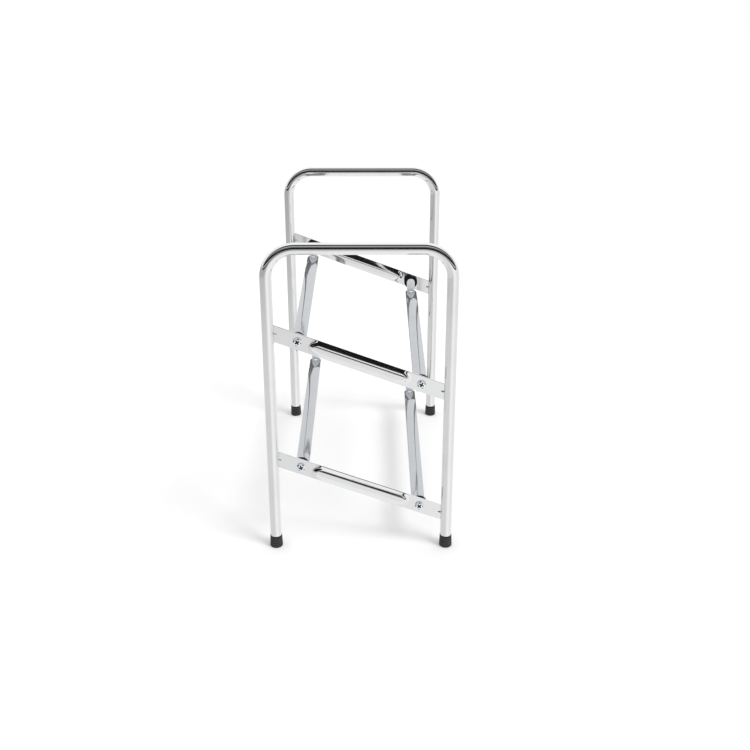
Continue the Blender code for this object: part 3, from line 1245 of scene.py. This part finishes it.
@dataclass
class Studio:
    """A plain white studio: a pale floor, an even sky with soft dark panels, and one soft lamp.

    The sky is a tone for each direction. Angles round the rails are in degrees, from level with the
    back over the top to level with the front, and negative below.
    """

    floor_size: float = 14.0
    floor_tone: float = 0.9
    even_light: float = 0.90
    backdrop_lift: float = 0.10
    lamp_spread: float = 24.0
    lamp_energy: float = 1.30
    lamp_height: float = 2.4
    lamp_aim: tuple[float, float, float] = (-0.80, 0.50, -1.15)
    lens: float = 49.52
    lens_shift: float = -0.055
    camera_place: tuple[float, float, float] = (0.0193, -1.7634, 1.0200)
    camera_dip: float = 0.39153
    camera_turn: float = -0.00326

    def floor(self) -> None:
        """Lays a pale floor. Metal shows the studio's own lower half in its place."""
        deselect_all()
        bpy.ops.mesh.primitive_plane_add(size=self.floor_size, location=(0, 0, 0))
        obj = bpy.context.active_object
        obj.name = "floor"
        material, bench, shader = new_finish("pale_floor")
        shader.inputs["Base Color"].default_value = (*[self.floor_tone] * 3, 1)
        shader.inputs["Roughness"].default_value = 0.9
        shader.inputs["Specular IOR Level"].default_value = 0.0
        path = bench.node("ShaderNodeLightPath")
        clear = bench.node("ShaderNodeBsdfTransparent")
        blend = bench.node("ShaderNodeMixShader")
        bench.put(blend.inputs[0], path.outputs["Is Glossy Ray"])
        bench.put(blend.inputs[1], shader.outputs[0])
        bench.put(blend.inputs[2], clear.outputs[0])
        output = material.node_tree.nodes["Material Output"]
        bench.put(output.inputs["Surface"], blend.outputs[0])
        obj.data.materials.append(material)

    def sky(self) -> None:
        """Paints the studio by direction: white all round for the floor, with panels for the metal."""
        world = bpy.data.worlds.new("studio")
        bpy.context.scene.world = world
        world.use_nodes = True
        bench = NodeBench(world.node_tree)
        background = world.node_tree.nodes["Background"]
        where = bench.node("ShaderNodeTexCoord")
        axes = bench.node("ShaderNodeSeparateXYZ")
        bench.put(axes.inputs[0], where.outputs["Generated"])
        x, y, z = axes.outputs
        pitch = bench.math("MULTIPLY", bench.math("ARCTAN2", z, y), 180 / math.pi)
        above = bench.ramp(z, -0.03, 0.01, 0, 1)
        low = bench.math("MULTIPLY", bench.math("SUBTRACT", 1, above), self.low_tone(bench, x, z))
        high = bench.math("MULTIPLY", above, self.high_tone(bench, z))
        tone = bench.math("ADD", low, high)
        tone = bench.math("MULTIPLY", tone, self.pitch_tone(bench, pitch))
        path = bench.node("ShaderNodeLightPath")
        glossy = path.outputs["Is Glossy Ray"]
        plain = bench.math("SUBTRACT", 1, glossy)
        even = bench.math("MULTIPLY", plain, self.even_light)
        backdrop = bench.math("MULTIPLY", path.outputs["Is Camera Ray"], self.backdrop_lift)
        seen = bench.math("MULTIPLY", glossy, tone)
        total = bench.math("ADD", bench.math("ADD", even, backdrop), seen)
        background.inputs["Color"].default_value = (1, 1, 1, 1)
        bench.put(background.inputs["Strength"], total)

    def band(self, bench: NodeBench, angle: Value, low: float, high: float, soft: float) -> Value:
        """Picks out a range of angles, with soft edges.

        Args:
            bench: Where the nodes go.
            angle: The angle to test.
            low: Where the range starts.
            high: Where it ends.
            soft: How far each edge spreads to either side.

        Returns:
            1 inside the range and 0 outside it.
        """
        rise = bench.ramp(angle, low - soft, low + soft, 0, 1)
        fall = bench.ramp(angle, high - soft, high + soft, 1, 0)
        return bench.math("MULTIPLY", rise, fall)

    def pitch_tone(self, bench: NodeBench, pitch: Value) -> Value:
        """Hangs the dark panels, each with its two angles, its soft edge and its darkness.

        Args:
            bench: Where the nodes go.
            pitch: The angle round the rails.

        Returns:
            The brightness at that angle.
        """
        panels = (
            (81.0, 113.0, 2.0, 0.93),
            (113.0, 131.0, 2.0, 0.62),
            (131.0, 146.0, 2.0, 0.94),
            (146.0, 176.9, 1.0, 0.99),
            (-178.4, -170.5, 0.6, 0.96),
        )
        tone: Value = 1.0
        for low, high, soft, depth in panels:
            dark = bench.math("MULTIPLY", self.band(bench, pitch, low, high, soft), depth)
            tone = bench.math("MULTIPLY", tone, bench.math("SUBTRACT", 1, dark))
        return tone

    def low_tone(self, bench: NodeBench, x: Value, z: Value) -> Value:
        """Dims the studio below the level to the left, and least straight down.

        Args:
            bench: Where the nodes go.
            x: How far the direction points to the right, from -1 to 1.
            z: How far it points up.

        Returns:
            The brightness below the level.
        """
        left = bench.ramp(z, -0.44, -0.22, 0.73, 0.45)
        across = bench.ramp(x, -0.35, 0.35, left, 0.98)
        edge = bench.ramp(x, 0.50, 0.95, 1.0, 0.88)
        steep = bench.ramp(z, -0.90, -0.60, 1.0, 0.0)
        tone = bench.math("MULTIPLY", across, edge)
        lift = bench.math("MULTIPLY", steep, bench.math("SUBTRACT", 0.94, tone))
        return bench.math("ADD", tone, lift)

    def high_tone(self, bench: NodeBench, z: Value) -> Value:
        """The brightness above the level, away from the dark panels, for an upward share z."""
        return bench.ramp(z, 0.55, 0.95, 0.97, 1.15)

    def lamp(self) -> None:
        """Hangs a wide soft light to the right, for a faint shadow on the floor."""
        data = bpy.data.lights.new("overhead", "SUN")
        data.angle = math.radians(self.lamp_spread)
        data.energy = self.lamp_energy
        lamp = bpy.data.objects.new("overhead", data)
        bpy.context.scene.collection.objects.link(lamp)
        lamp.location = (0, 0, self.lamp_height)
        lamp.rotation_euler = Vector(self.lamp_aim).to_track_quat("-Z", "Y").to_euler()
        lamp.visible_glossy = False

    def camera(self) -> None:
        """Stands the camera in front of the rack and a little above it."""
        data = bpy.data.cameras.new("camera")
        data.lens = self.lens
        data.shift_y = self.lens_shift
        camera = bpy.data.objects.new("camera", data)
        bpy.context.scene.collection.objects.link(camera)
        camera.location = self.camera_place
        camera.rotation_euler = (math.pi / 2 - self.camera_dip, 0, self.camera_turn)
        bpy.context.scene.camera = camera

    def build(self) -> None:
        """Sets up the whole studio."""
        self.floor()
        self.sky()
        self.lamp()
        self.camera()
        bpy.context.scene.view_settings.view_transform = "Standard"


def main() -> None:
    """Builds every piece of the rack, then the studio."""
    logging.basicConfig(level=logging.INFO, format="%(name)s: %(message)s")
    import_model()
    finishes = Finishes()
    for frame in Frame:
        tube = TubeFrame(frame, finishes.tube)
        tube.build()
        for side in Side:
            PushInFoot(frame, side).build(finishes.rubber, finishes.rib_highlight, tube.foot_z)
        for level in Level:
            SlantedBar(frame, level, finishes.bar).build()
            # Left nibs take the bars' chrome; the right nibs take a dark finish that paints shade on
            # them.
            WeldNib(frame, level, Side.LEFT, finishes.bar).build()
            WeldNib(frame, level, Side.RIGHT, finishes.weld).build()
    JointSet(finishes).build()
    for level in Level:
        for side in Side:
            PressedArm(level, side, finishes.arm).build()
    Studio().build()


if __name__ == "__main__":
    main()
